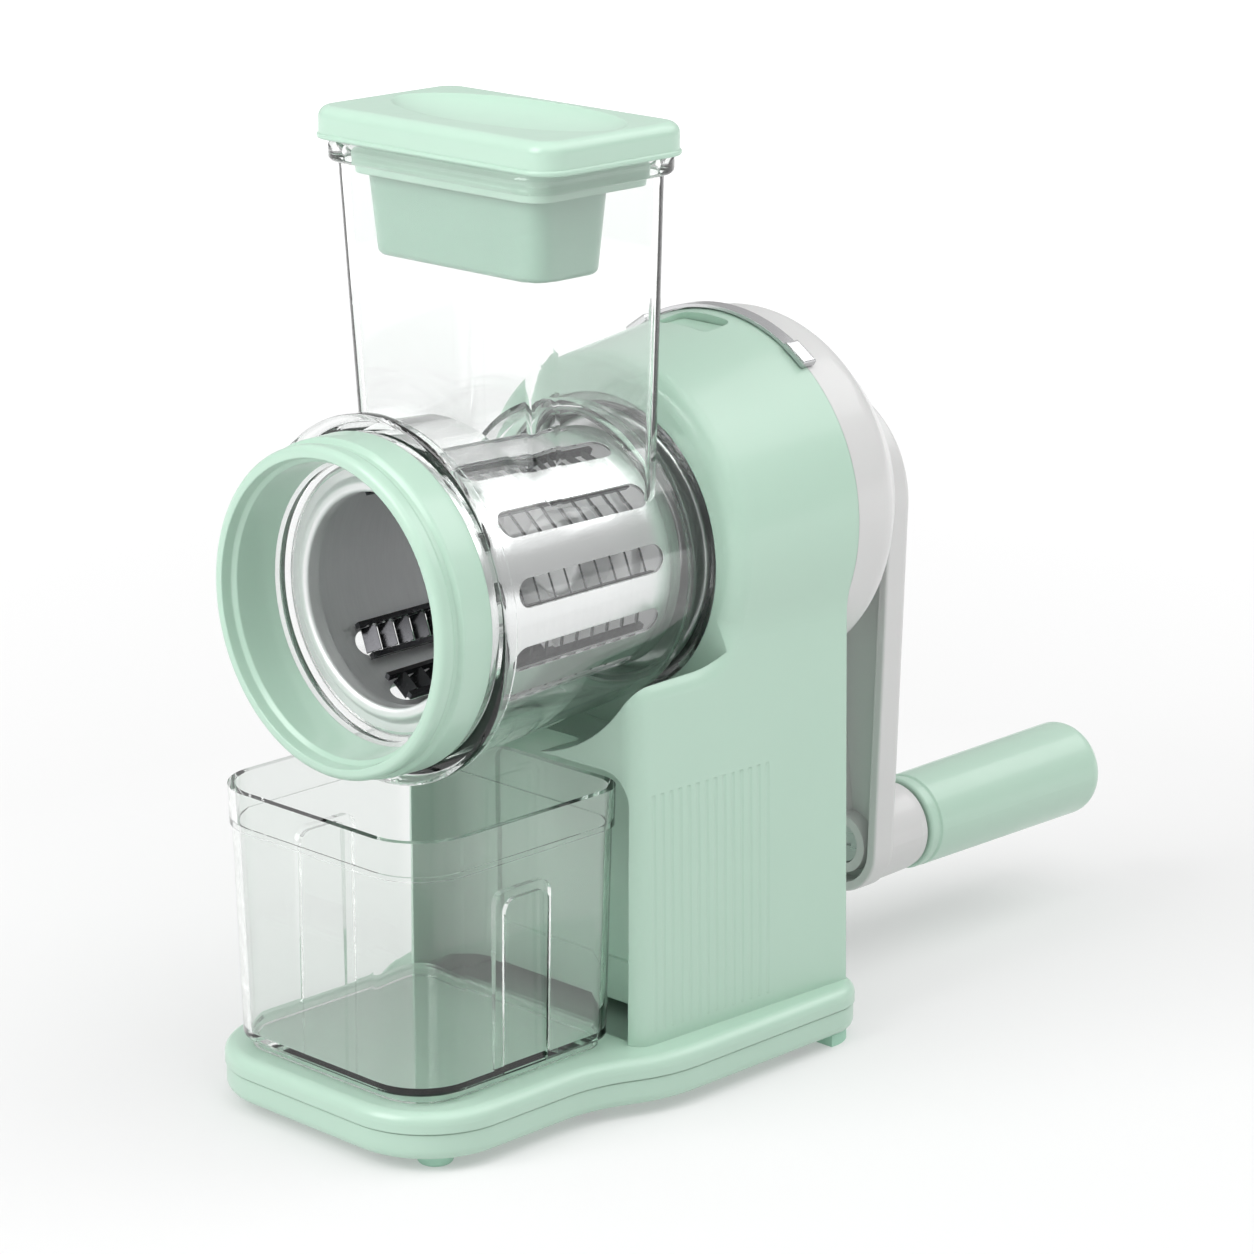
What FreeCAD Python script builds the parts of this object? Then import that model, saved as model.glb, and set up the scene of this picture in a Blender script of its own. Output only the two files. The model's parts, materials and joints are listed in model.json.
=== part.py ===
import FreeCAD, Part
import math
import os
from FreeCAD import Vector

# Rotary cheese grater, millimetres.
# +Y runs from the drum's mouth to the crank handle, +Z is up, and +X is to the right of someone who
# looks along +Y.  The origin is on the table under the middle of the machine.

# ---------------------------------------------------------------- driving dimensions
AXIS_Z = 152.1            # height of the drum and crank axis above the table

# stations along Y
Y_RING = -149.5           # front lip of the locking ring
Y_BARREL = -131.0         # front of the barrel's retaining flange
Y_FACE = -40.5            # front face of the housing head
Y_HEAD = -36.5            # seat of the barrel's rear flange, sunk in that face
Y_COVER = 8.0             # seam between housing and rear cover
Y_DOME = 40.0             # flat top of the rear cover
Y_ARM = 48.0              # inner face of the crank arm
Y_GRIP = 76.0             # start of the hand grip
Y_GRIP_END = 161.5        # end of the hand grip

# locking ring
RING_R = 48.4
RING_LIP_R = 47.2
MOUTH_R = 43.0
RING_LEN = 18.0
RING_GROOVE = 10.3        # depth of the groove that takes the barrel's spigot and the gasket
SLEEVE_R = 41.0           # bore of the inner sleeve
THREAD_R = 47.1
SPIGOT_R = 45.9

# clear barrel
FLANGE_R = 52.7
FLANGE_T = 4.5
BARREL_R_FRONT = 50.0
BARREL_R_REAR = 44.6
BARREL_WALL = 2.4
LIP_R = 40.0
Y_SHOULDER = -48.5
NECK_R = 41.2
REAR_FLANGE_R = 44.2
REAR_FLANGE_T = 3.0
TAIL_R = 41.4
TAIL_BORE_R = 39.0
LUG_R = 43.2
LUG_ANGLE = 34.0
LUG_COUNT = 3
TWIST_CLEAR = 0.4

# hopper, part of the barrel moulding
HOPPER_HALF_X = 41.8
HOPPER_Y0 = -108.0
HOPPER_Y1 = -55.0
HOPPER_CORNER = 6.5
HOPPER_WALL = 2.4
HOPPER_DRAFT = 3.0
HOPPER_DRAFT_FRONT = 6.0
HOPPER_DRAFT_REAR = 0.8
COLLAR_Z = 268.1
COLLAR_H = 5.8
COLLAR_OVER = 3.4

# pusher
LID_HALF_X = 48.7
LID_Y0 = -110.8
LID_Y1 = -54.0
LID_H = 9.2
LID_CORNER = 8.0
LID_GAP = 0.6
BOWL_HALF_X = 43.0        # finger hollow in the lid
BOWL_HALF_Y = 20.0
BOWL_DEPTH = 5.3
BOWL_LIFT = 1.2
PLUG_CLEAR = 0.8
PLUG_H = 9.0
PLUNGER_BOTTOM = 241.6
PLUNGER_Y1 = -71.0
PLUNGER_WALL = 2.4

# drum
DRUM_R_FRONT = 38.4
DRUM_R_REAR = 35.8
DRUM_Y0 = -129.5
DRUM_Y1 = -46.5
DRUM_SHEET = 1.2
DRUM_OPEN_R = 30.6
SLOT_PITCH = 30.0         # degrees between neighbouring slots
SLOT_PHASE = 22.0         # angle of the first slot, from straight up
SLOTS_BEFORE_SEAM = 8     # slots before the plain sector where the rolled sheet is welded
SLOTS_AFTER_SEAM = 2
SLOT_Y0 = -112.0
SLOT_Y1 = -53.5
SLOT_WIDTH = 8.2
VANES = 9
VANE_T = 0.5
VANE_TILT = 42.0
RAIL_W = 1.6              # side rails that carry the vanes
RAIL_H = 1.8
VANE_MARGIN = 1.5         # bare end of a slot before its first vane
HUB_R = 13.0

# drive
SHAFT_R = 6.0
BUSH_R = 9.5
RUN_CLEAR = 0.05
HEX_AF = 14.0
PLATE_R = 38.4
WASHER_R = 11.0

# crank
CRANK_X = 14.0
CRANK_DROP = 111.0
ARM_T = 10.0
ARM_HEAD_R = 33.2
ARM_END_R = 15.2
ARM_RIM = 3.0
ARM_FLOOR = 3.2
GRIP_R0 = 14.7
GRIP_R1 = 15.4
GRIP_END_R = 6.0          # rounding of the grip's free end
PLUG_R = 6.9
PIN_R = 4.0

# housing
HEAD_RISE = 3.0           # how far the head's centre sits above the drum axis, at its front
HEAD_RISE_REAR = 6.0      # the same at the rear cover
SEAT_WALL = 3.2           # wall round the recess that takes the barrel's rear flange
SEAT_CLEAR = 0.6
HEAD_R_FRONT = 53.5
HEAD_R_REAR = 56.2
EDGE_R = 6.0
BLEND_R = 30.0
COLUMN_Y = -77.0
COLUMN_HALF_FRONT = 48.4
COLUMN_HALF_REAR = 51.8
COLUMN_SPLAY = 1.8
SHELF_DROP = 26.0
SHELF_SWEEP_R = 12.0
SHELF_NOSE_R = 7.0
CRADLE_R = 54.4
BACK_WALL_DROP = 12.0     # the back wall reaches this close to the head's centre
BACK_LIP = 3.0            # lip of that wall inside the cover's edge
WALL = 2.6
NICHE_HALF_X = 45.4
NICHE_TOP = 98.6
NICHE_BACK = -53.0
NICHE_CORNER = 9.0
FLUTE_COUNT = 14
FLUTE_PITCH = 3.5
FLUTE_R = 1.5
FLUTE_DEPTH = 0.25

# base
DECK_Z = 17.7
SEAM_Z = 11.9
TRAY_Z = 3.6
BASE_Y0 = -161.5
BASE_Y1 = 13.0
BASE_HALF_FRONT = 50.5
BASE_HALF_REAR = 60.5
BASE_FRONT_R = 27.0
BASE_REAR_R = 14.0
WAIST_Y0 = -106.0
WAIST_Y1 = -63.0
FOOT_R = 6.0
FOOT_PAD_X = 44.0         # inner edge of the two rear corner pads
FOOT_PAD_Y = -3.0
FOOT_STEM_R = 2.5
BASE_SCREW_LEN = 10.4
FOOT_INSET = 13.5

# container
BOX_Z0 = 17.9
BOX_Z1 = 95.9
BOX_HALF_X = 44.7
BOX_Y0 = -158.0
BOX_Y1 = -74.5
BOX_FRONT_R = 18.0
BOX_REAR_R = 11.0
BOX_DRAFT = 1.3
BOX_WALL = 2.2
BOX_RIM_H = 11.4
BOX_FOOT_H = 2.6          # stacking skirt under the floor
BOX_FOOT_INSET = 4.4
CHANNEL_W = 17.0
CHANNEL_DEPTH = 3.0
CHANNEL_TOP = 73.1
CHANNEL_Y = -115.0

# rear cover
COVER_SIDE = 16.0         # length of the cover's nearly straight side
COVER_TAPER = 14.0        # how much smaller than the head its flat end is, in radius
COVER_SCREW_INSET = 16.0
COVER_SCREW_ANGLES = (30, 150, 270)
COVER_SCREW_SEAT = 15.0
COVER_POST_LEN = 14.0
POST_R = 4.2
SCREW_R = 1.5
SCREW_HEAD_R = 3.2
BOSS_R = 30.0
BOSS_T = 4.0
TRIM_HALF_ANGLE = 37.0
TRIM_W = 4.6

# release button
BUTTON_Y = -3.5
BUTTON_X_LEN = 20.0
BUTTON_Y_LEN = 11.0

REAR_Z = AXIS_Z + HEAD_RISE_REAR
UP = Vector(0, 0, 1)
ALONG = Vector(0, 1, 0)
ACROSS = Vector(1, 0, 0)


# ---------------------------------------------------------------- drawing helpers
def corner(before, here, after, radius):
    """Tangent points and middle point of an arc that rounds one corner of an outline."""
    back = (before - here).normalize()
    ahead = (after - here).normalize()
    half = math.acos(max(-1.0, min(1.0, back.dot(ahead)))) / 2
    reach = radius / math.tan(half)
    centre = here + (back + ahead).normalize() * (radius / math.sin(half))
    middle = centre + (here - centre).normalize() * radius
    return here + back * reach, middle, here + ahead * reach


def outline(points, radii=None):
    """Closed wire through points, each corner rounded by its radius."""
    count = len(points)
    radii = radii or [0.0] * count
    stops = []
    for i in range(count):
        if radii[i] > 0:
            stops.append(corner(points[i - 1], points[i], points[(i + 1) % count], radii[i]))
        else:
            stops.append((points[i], None, points[i]))
    edges = []
    for i in range(count):
        start, middle, end = stops[i]
        if middle is not None:
            edges.append(Part.Arc(start, middle, end).toShape())
        after = stops[(i + 1) % count][0]
        if end.distanceToPoint(after) > 1e-6:
            edges.append(Part.makeLine(end, after))
    return Part.Wire(edges)


def turned(points, radii=None, x=0.0, z=AXIS_Z):
    """Solid of revolution about a Y axis; points are (radius, y)."""
    wire = outline([Vector(x + r, y, z) for r, y in points], radii)
    return Part.Face(wire).revolve(Vector(x, 0, z), ALONG, 360)


def rod(radius, y0, y1, x=0.0, z=AXIS_Z):
    return Part.makeCylinder(radius, y1 - y0, Vector(x, y0, z), ALONG)


def tube(outer, inner, y0, y1, x=0.0, z=AXIS_Z):
    return rod(outer, y0, y1, x, z).cut(rod(inner, y0 - 1, y1 + 1, x, z))


def cone(r0, r1, y0, y1, z=AXIS_Z):
    return Part.makeCone(r0, r1, y1 - y0, Vector(0, y0, z), ALONG)


def block(x0, x1, y0, y1, z0, z1):
    return Part.makeBox(x1 - x0, y1 - y0, z1 - z0, Vector(x0, y0, z0))


def plan_rectangle(half_x, y0, y1, z, front_r, rear_r):
    points = [Vector(-half_x, y0, z), Vector(half_x, y0, z), Vector(half_x, y1, z), Vector(-half_x, y1, z)]
    return outline(points, [front_r, front_r, rear_r, rear_r])


def drafted_box(half_x, y0, y1, z0, z1, front_r, rear_r, draft, front=None, rear=None):
    """Upright box with rounded corners whose walls lean in by draft towards the bottom."""
    front = draft if front is None else front
    rear = draft if rear is None else rear
    low = plan_rectangle(half_x - draft, y0 + front, y1 - rear, z0, front_r, rear_r)
    high = plan_rectangle(half_x, y0, y1, z1, front_r, rear_r)
    return Part.makeLoft([low, high], True, True)


def edges_at(shape, test):
    return [edge for edge in shape.Edges if test(edge.BoundBox)]


def softened(shape, radius, test):
    return shape.makeFillet(radius, edges_at(shape, test))


def spin(shape, angle, z=AXIS_Z):
    copy = shape.copy()
    copy.rotate(Vector(0, 0, z), ALONG, angle)
    return copy


def fused(shapes):
    return shapes[0].multiFuse(shapes[1:]).removeSplitter()


def screw(x, y0, z, length, head_r, shank_r, head_t, direction):
    """Cap screw along Y: the head starts at y0 and the shank runs on in the given direction."""
    head = Part.makeCylinder(head_r, head_t, Vector(x, y0, z), ALONG * direction)
    shank = Part.makeCylinder(shank_r, length, Vector(x, y0, z), ALONG * direction)
    recess = Part.makeBox(head_r * 1.2, 1.2, 1.0, Vector(x - head_r * 0.6, -0.6 + y0, z - 0.5))
    return head.fuse(shank).cut(recess)


# ---------------------------------------------------------------- housing
def column_half(y):
    share = (y - COLUMN_Y) / (Y_COVER - COLUMN_Y)
    return COLUMN_HALF_FRONT + share * (COLUMN_HALF_REAR - COLUMN_HALF_FRONT)


def head_share(y):
    """Position of y between the barrel's seat and the cover seam, as a fraction."""
    return (y - Y_HEAD) / (Y_COVER - Y_HEAD)


def head_centre(y):
    return AXIS_Z + HEAD_RISE + head_share(y) * (HEAD_RISE_REAR - HEAD_RISE)


def head_radius(y):
    return HEAD_R_FRONT + head_share(y) * (HEAD_R_REAR - HEAD_R_FRONT)


def head_top(y):
    return head_centre(y) + head_radius(y)


def head_section(y, radius, inset, floor_z):
    """Keyhole section of the housing: round head blended into the splayed column sides."""
    half = column_half(y) - inset
    r = radius - inset
    b = BLEND_R + inset
    centre = head_centre(y)
    drop = math.sqrt((r + b) ** 2 - (half + b) ** 2)
    blend_z = centre - drop
    touch = Vector((half + b) * r / (r + b), y, centre - drop * r / (r + b))
    lean = math.radians(0.5 * math.degrees(math.acos((half + b) / (r + b))))
    middle = Vector(half + b - b * math.cos(lean), y, blend_z + b * math.sin(lean))
    foot = Vector(half + COLUMN_SPLAY, y, floor_z)
    waist = Vector(half, y, blend_z)

    def mirror(p):
        return Vector(-p.x, p.y, p.z)

    top = Vector(0, y, centre + r)
    edges = [
        Part.makeLine(foot, waist),
        Part.Arc(waist, middle, touch).toShape(),
        Part.Arc(touch, top, mirror(touch)).toShape(),
        Part.Arc(mirror(touch), mirror(middle), mirror(waist)).toShape(),
        Part.makeLine(mirror(waist), mirror(foot)),
        Part.makeLine(mirror(foot), foot),
    ]
    return Part.Wire(edges)


def head_block(inset, y0, y1, floor_z):
    wires = []
    for y in (y0, y1):
        wires.append(head_section(y, head_radius(y), inset, floor_z))
    return Part.makeLoft(wires, True, True)


def side_profile(inset, y1, floor_z):
    """Side view of the housing as a prism across X: low shelf in front, swept up into the tall head."""
    front = COLUMN_Y + inset
    face = Y_FACE + inset
    top = AXIS_Z - SHELF_DROP - inset
    sky = REAR_Z + HEAD_R_REAR + 10
    points = [Vector(-80, front, floor_z), Vector(-80, front, top), Vector(-80, face, top),
              Vector(-80, face, sky), Vector(-80, y1, sky), Vector(-80, y1, floor_z)]
    wire = outline(points, [0, SHELF_NOSE_R, SHELF_SWEEP_R + inset, 0, 0, 0])
    return Part.Face(wire).extrude(ACROSS * 160)


def upright_body(inset, y1, floor_z):
    """Column and head in one piece, without the cradle."""
    tower = head_block(inset, COLUMN_Y - 2, y1, floor_z)
    return tower.common(side_profile(inset, y1, floor_z))


def is_front_edge(box):
    """Edges where the front and shelf faces meet the sides, all the way round the head."""
    if box.YMax > Y_COVER - 1 or box.ZMax < DECK_Z + 1:
        return False
    runs_across = box.ZLength < 0.1 and box.YLength < 0.1
    return not runs_across


def base_outline(inset, z):
    """Plan of the base: narrow rounded nose, flowing out to a wider rear."""
    nose = BASE_HALF_FRONT - inset
    rear = BASE_HALF_REAR - inset
    front = BASE_Y0 + inset
    back = BASE_Y1 - inset
    step = rear - nose
    run = WAIST_Y1 - WAIST_Y0
    bend = (step * step + run * run) / (4 * step)
    swing = math.asin(run / 2 / bend)
    mid = Vector((nose + rear) / 2, (WAIST_Y0 + WAIST_Y1) / 2, z)
    early = Vector(nose + bend * (1 - math.cos(swing / 2)), WAIST_Y0 + bend * math.sin(swing / 2), z)
    late = Vector(rear - bend * (1 - math.cos(swing / 2)), WAIST_Y1 - bend * math.sin(swing / 2), z)
    fr = BASE_FRONT_R - inset
    rr = BASE_REAR_R - inset
    cut = 1 - math.sqrt(0.5)
    right = [
        Part.Arc(Vector(nose - fr, front, z), Vector(nose - fr * cut, front + fr * cut, z),
                 Vector(nose, front + fr, z)).toShape(),
        Part.makeLine(Vector(nose, front + fr, z), Vector(nose, WAIST_Y0, z)),
        Part.Arc(Vector(nose, WAIST_Y0, z), early, mid).toShape(),
        Part.Arc(mid, late, Vector(rear, WAIST_Y1, z)).toShape(),
        Part.makeLine(Vector(rear, WAIST_Y1, z), Vector(rear, back - rr, z)),
        Part.Arc(Vector(rear, back - rr, z), Vector(rear - rr * cut, back - rr * cut, z),
                 Vector(rear - rr, back, z)).toShape(),
    ]
    left = [edge.mirror(Vector(0, 0, 0), ACROSS) for edge in right]
    ends = [
        Part.makeLine(Vector(-nose + fr, front, z), Vector(nose - fr, front, z)),
        Part.makeLine(Vector(-rear + rr, back, z), Vector(rear - rr, back, z)),
    ]
    return Part.Wire(Part.__sortEdges__(right + left + ends))


def base_slab(inset, z0, z1):
    return Part.Face(base_outline(inset, z0)).extrude(UP * (z1 - z0))


def niche(grow):
    """Alcove that takes the back of the container."""
    half = NICHE_HALF_X + grow
    y0 = COLUMN_Y - 5
    y1 = NICHE_BACK + grow
    z0 = DECK_Z
    z1 = NICHE_TOP + grow
    solid = block(-half, half, y0, y1, z0, z1)
    solid = softened(solid, NICHE_CORNER + grow, lambda b: b.YLength < 1 and b.YMin > y1 - 1 and b.ZLength > 5)
    return softened(solid, NICHE_CORNER, lambda b: b.YLength > 5 and b.ZMin > z1 - 1 and b.XLength < 1)


def flutes():
    """Fine upright grooves on both sides of the column."""
    cuts = []
    for i in range(FLUTE_COUNT):
        y = COLUMN_Y + 6.5 + i * FLUTE_PITCH
        for side in (-1, 1):
            low = Vector(side * (column_half(y) + COLUMN_SPLAY + FLUTE_R - FLUTE_DEPTH), y, DECK_Z + 4)
            high = Vector(side * (column_half(y) + 0.6 + FLUTE_R - FLUTE_DEPTH), y, NICHE_TOP - 6)
            cuts.append(Part.makeCylinder(FLUTE_R, (high - low).Length, low, high - low))
    return cuts


def bayonet_opening():
    """Front hole with entry notches for the barrel's lugs."""
    hole = rod(TAIL_R + TWIST_CLEAR, Y_HEAD - 1, Y_HEAD + 20)
    notches = []
    for i in range(LUG_COUNT):
        wedge = lug(LUG_R + TWIST_CLEAR, Y_HEAD - 1, Y_HEAD + WALL + 1, LUG_ANGLE + 6)
        notches.append(spin(wedge, 40 + i * 360 / LUG_COUNT))
    return [hole] + notches


def lug(radius, y0, y1, angle):
    """Sector of a disc, centred on straight up."""
    disc = Part.makeCylinder(radius, y1 - y0, Vector(0, y0, AXIS_Z), ALONG, angle)
    first = disc.CenterOfMass - Vector(0, disc.CenterOfMass.y, AXIS_Z)
    turn = math.degrees(math.atan2(first.x, first.z))
    return spin(disc, -turn)


def screw_posts(points, radius, z0, z1, bore):
    posts = []
    for x, y in points:
        post = Part.makeCylinder(radius, z1 - z0, Vector(x, y, z0), UP)
        posts.append(post.cut(Part.makeCylinder(bore, z1 - z0 - 2, Vector(x, y, z0), UP)))
    return posts


def base_screw_points():
    return [(-24, -150), (24, -150), (-44, -92), (44, -92), (-53, -14), (53, -14)]


def main_housing():
    floor = DECK_Z - 2
    body = softened(upright_body(0, Y_COVER, floor), EDGE_R, is_front_edge)
    body = body.cut(rod(CRADLE_R, COLUMN_Y - 1, Y_FACE))
    deck = softened(base_slab(0, SEAM_Z, DECK_Z), 3.5, lambda b: b.ZMin > DECK_Z - 0.1)
    back_wall = block(-80, 80, Y_COVER - WALL, Y_COVER + 2, 0, REAR_Z - BACK_WALL_DROP)
    back_wall = back_wall.cut(rod(HEAD_R_REAR - WALL - BACK_LIP, Y_COVER - 5, Y_COVER + 5, 0, REAR_Z))
    cradle_wall = rod(CRADLE_R + WALL, -90, Y_FACE + WALL)
    cavity = upright_body(WALL, Y_COVER + 1, SEAM_Z - 1).cut([cradle_wall, back_wall])
    hollow = fused([cavity, base_slab(WALL, SEAM_Z - 1, DECK_Z - WALL)]).cut(niche(WALL))
    window = block(-33, 33, NICHE_BACK - 1, NICHE_BACK + 1.6, NICHE_TOP - 68, NICHE_TOP - 13)
    window = softened(window, 4, lambda b: b.YLength > 1 and b.XLength < 0.1)
    button = button_blank(0.3, REAR_Z + 40, REAR_Z + 70)
    posts = screw_posts(base_screw_points(), POST_R, SEAM_Z, DECK_Z - 1, SCREW_R)
    seat = rod(REAR_FLANGE_R + SEAT_WALL, Y_FACE + 1, Y_HEAD + WALL)
    recess = rod(REAR_FLANGE_R + SEAT_CLEAR, Y_FACE - 1, Y_HEAD)
    solid = fused([deck, body]).cut(hollow).cut(niche(0)).fuse(posts + cover_posts() + [seat])
    return solid.cut([window, button, recess] + bayonet_opening() + flutes())


def cover_posts():
    """Ribbed posts inside the head that take the rear cover's screws."""
    posts = []
    reach = HEAD_R_REAR - COVER_SCREW_INSET
    y0 = Y_COVER - COVER_POST_LEN
    for angle in COVER_SCREW_ANGLES:
        post = rod(POST_R, y0, Y_COVER, 0, REAR_Z + reach)
        rib = block(-1.2, 1.2, y0, Y_COVER, REAR_Z + reach + 1, REAR_Z + head_radius(y0) - WALL + 1)
        bore = rod(SCREW_R, y0 + 2, Y_COVER + 1, 0, REAR_Z + reach)
        posts.append(spin(fused([post, rib]).cut(bore), 90 - angle, REAR_Z))
    return posts


def base_plate():
    plate = softened(base_slab(0.4, TRAY_Z, SEAM_Z - 0.3), 3.0, lambda b: b.ZMax < TRAY_Z + 0.1)
    pocket = base_slab(3.4, TRAY_Z + 2.6, SEAM_Z)
    plate = plate.cut(pocket)
    posts = [Part.makeCylinder(POST_R, SEAM_Z - TRAY_Z - 0.3, Vector(x, y, TRAY_Z), UP)
             for x, y in base_screw_points()]
    plate = plate.fuse(posts)
    holes = []
    for x, y in base_screw_points():
        holes.append(Part.makeCylinder(1.7, 12, Vector(x, y, TRAY_Z - 1), UP))
        holes.append(Part.makeCylinder(3.4, 2.6, Vector(x, y, TRAY_Z - 0.5), UP))
    for x, y in foot_points():
        holes.append(Part.makeCylinder(FOOT_STEM_R, 8, Vector(x, y, TRAY_Z - 1), UP))
    return plate.cut(holes)


def foot_points():
    front = BASE_Y0 + FOOT_INSET + 3
    rear = BASE_Y1 - FOOT_INSET + 2
    return [(-37, front), (37, front), (-49, rear), (49, rear)]


def feet():
    """Two round front feet and two rear corner pads, each with a stem through the base plate."""
    solids = []
    for x, y in foot_points():
        if y < COLUMN_Y:
            pad = Part.makeCone(FOOT_R - 1.2, FOOT_R, TRAY_Z, Vector(x, y, 0), UP)
            pad = softened(pad, 1.2, lambda b: b.ZMax < 0.1)
        else:
            pad = corner_pad(1 if x > 0 else -1)
        stem = Part.makeCylinder(FOOT_STEM_R, 2.6, Vector(x, y, TRAY_Z), UP)
        bulb = Part.makeCone(FOOT_STEM_R + 1.1, FOOT_STEM_R - 0.1, 2.2, Vector(x, y, TRAY_Z + 2.6), UP)
        solids.append(fused([pad, stem, bulb]))
    return Part.makeCompound(solids)


def corner_pad(side):
    """Pad that follows the base's rear corner."""
    ends = sorted([side * FOOT_PAD_X, side * (BASE_HALF_REAR + 1)])
    area = block(ends[0], ends[1], FOOT_PAD_Y, BASE_Y1 + 1, -1, TRAY_Z + 1)
    return base_slab(2.4, 0, TRAY_Z).common(area)


def base_screws():
    solids = []
    for x, y in base_screw_points():
        head = Part.makeCylinder(SCREW_HEAD_R, 1.9, Vector(x, y, TRAY_Z + 0.2), UP)
        shank = Part.makeCylinder(SCREW_R, BASE_SCREW_LEN, Vector(x, y, TRAY_Z + 0.2), UP)
        slot = block(x - 2.2, x + 2.2, y - 0.4, y + 0.4, TRAY_Z, TRAY_Z + 1.0)
        solids.append(fused([head, shank]).cut(slot))
    return Part.makeCompound(solids)


# ---------------------------------------------------------------- rear cover and trim
def rear_cover():
    outer = [(0, Y_COVER), (HEAD_R_REAR, Y_COVER), (HEAD_R_REAR - 1.0, Y_COVER + COVER_SIDE),
             (HEAD_R_REAR - COVER_TAPER, Y_DOME), (0, Y_DOME)]
    dome = turned(outer, [0, 0, 12, 8, 0], z=REAR_Z)
    r = HEAD_R_REAR - WALL
    inner = [(0, Y_COVER - 1), (r, Y_COVER - 1), (r - 1.0, Y_COVER + COVER_SIDE - 1),
             (r - COVER_TAPER, Y_DOME - WALL), (0, Y_DOME - WALL)]
    hollow = turned(inner, [0, 0, 10, 6, 0], z=REAR_Z)
    boss = turned([(0, Y_DOME - 3), (BOSS_R, Y_DOME - 3), (BOSS_R - 1, Y_DOME + BOSS_T),
                   (0, Y_DOME + BOSS_T)], [0, 0, 2.5, 0])
    socket = rod(BUSH_R + 3, Y_DOME - 14, Y_DOME + 1)
    shell = dome.cut(hollow).fuse([boss, socket])
    posts = [rod(POST_R, Y_COVER, Y_DOME - 5, x, z) for x, z in cover_screw_points()]
    shell = shell.fuse(posts)
    bores = [rod(BUSH_R, Y_DOME - 15, Y_DOME + BOSS_T + 1)]
    for x, z in cover_screw_points():
        bores.append(rod(1.7, Y_COVER - 1, Y_DOME + 5, x, z))
        bores.append(rod(SCREW_HEAD_R + 0.3, Y_COVER + COVER_SCREW_SEAT - 3, Y_DOME + 5, x, z))
    lower = block(-70, 70, Y_COVER - 1, Y_DOME + 10, 0, REAR_Z - HEAD_R_REAR - 5)
    return shell.cut(bores + [lower])


def cover_screw_points():
    reach = HEAD_R_REAR - COVER_SCREW_INSET
    spots = []
    for angle in COVER_SCREW_ANGLES:
        a = math.radians(angle)
        spots.append((reach * math.cos(a), REAR_Z + reach * math.sin(a)))
    return spots


def cover_screws():
    return Part.makeCompound([
        screw(x, Y_COVER + COVER_SCREW_SEAT, z, 26, SCREW_HEAD_R, SCREW_R, 2.6, -1)
        for x, z in cover_screw_points()])


def trim_band():
    """Bright latch band over the seam between housing and cover, thicker at its ends."""
    y0 = Y_COVER - TRIM_W / 2
    band = Part.makeCylinder(HEAD_R_REAR + 1.3, TRIM_W, Vector(0, y0, REAR_Z), ALONG, 2 * TRIM_HALF_ANGLE)
    centre = band.CenterOfMass
    turn = math.degrees(math.atan2(centre.x, centre.z - REAR_Z))
    band.rotate(Vector(0, 0, REAR_Z), ALONG, -turn)
    band = band.cut(rod(HEAD_R_REAR + 0.15, y0 - 1, y0 + TRIM_W + 1, 0, REAR_Z))
    ends = []
    for side in (-1, 1):
        pad = block(-4.5, 4.5, y0 - 0.4, y0 + TRIM_W + 0.4, REAR_Z + HEAD_R_REAR + 0.15,
                    REAR_Z + HEAD_R_REAR + 2.4)
        pad = softened(pad, 0.8, lambda b: b.ZMin > REAR_Z + HEAD_R_REAR + 2.3)
        ends.append(spin(pad, side * (TRIM_HALF_ANGLE - 3), REAR_Z))
    return fused([band] + ends)


# ---------------------------------------------------------------- drive
def bearing_carrier():
    """Cup behind the housing's front hole: holds the bayonet lugs and the front bush."""
    y0 = Y_HEAD + WALL
    rim = tube(LUG_R + 4.5, LUG_R + TWIST_CLEAR, y0, y0 + 8)
    web = rod(LUG_R + 4.5, y0 + 4, y0 + 8)
    boss = rod(BUSH_R + 3, y0 - 1.6, y0 + 20)
    ribs = [spin(block(-1.2, 1.2, y0 + 7, y0 + 18, AXIS_Z + 8, AXIS_Z + 25), angle)
            for angle in (0, 60, 120, 180, 240, 300)]
    ears = [rod(5, y0, y0 + 8, x, z) for x, z in carrier_screw_points()]
    body = fused([rim, web, boss] + ribs)
    inner = rod(LUG_R + TWIST_CLEAR, y0 - 1, y0 + 4).cut(rod(BUSH_R + 3.1, y0 - 2, y0 + 4))
    body = body.fuse(ears).cut([inner, rod(BUSH_R, y0 - 5, y0 + 25)])
    return body.cut([rod(1.6, y0 - 1, y0 + 9, x, z) for x, z in carrier_screw_points()])


def carrier_screw_points():
    reach = LUG_R + 4.0
    return [(reach * math.cos(math.radians(a)), AXIS_Z + reach * math.sin(math.radians(a)))
            for a in (60, 120, 240, 300)]


def carrier_screws():
    y = Y_HEAD + WALL + 8 + 2.2
    return Part.makeCompound([screw(x, y, z, 10, 2.8, 1.5, 2.2, -1) for x, z in carrier_screw_points()])


def front_plate():
    """Drawn steel dish that closes the back of the grating chamber."""
    y0 = Y_HEAD - 1.0
    y1 = Y_HEAD + WALL + 4
    dish = turned([(BUSH_R + 3.4, y0), (PLATE_R, y0), (PLATE_R, y1), (PLATE_R - 1, y1),
                   (PLATE_R - 1, y0 + 1), (BUSH_R + 3.4, y0 + 1)], [0, 2, 0, 0, 1, 0])
    ring_groove = turned([(27, y0 - 1), (31, y0 - 1), (31, y0 + 0.4), (27, y0 + 0.4)])
    return dish.cut(ring_groove)


def bush(y0, y1, flange_y):
    sleeve = tube(BUSH_R - 0.01, SHAFT_R + RUN_CLEAR, y0, y1)
    flange = tube(BUSH_R + 2, SHAFT_R + RUN_CLEAR, flange_y, flange_y + 1.5)
    return fused([sleeve, flange])


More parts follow.
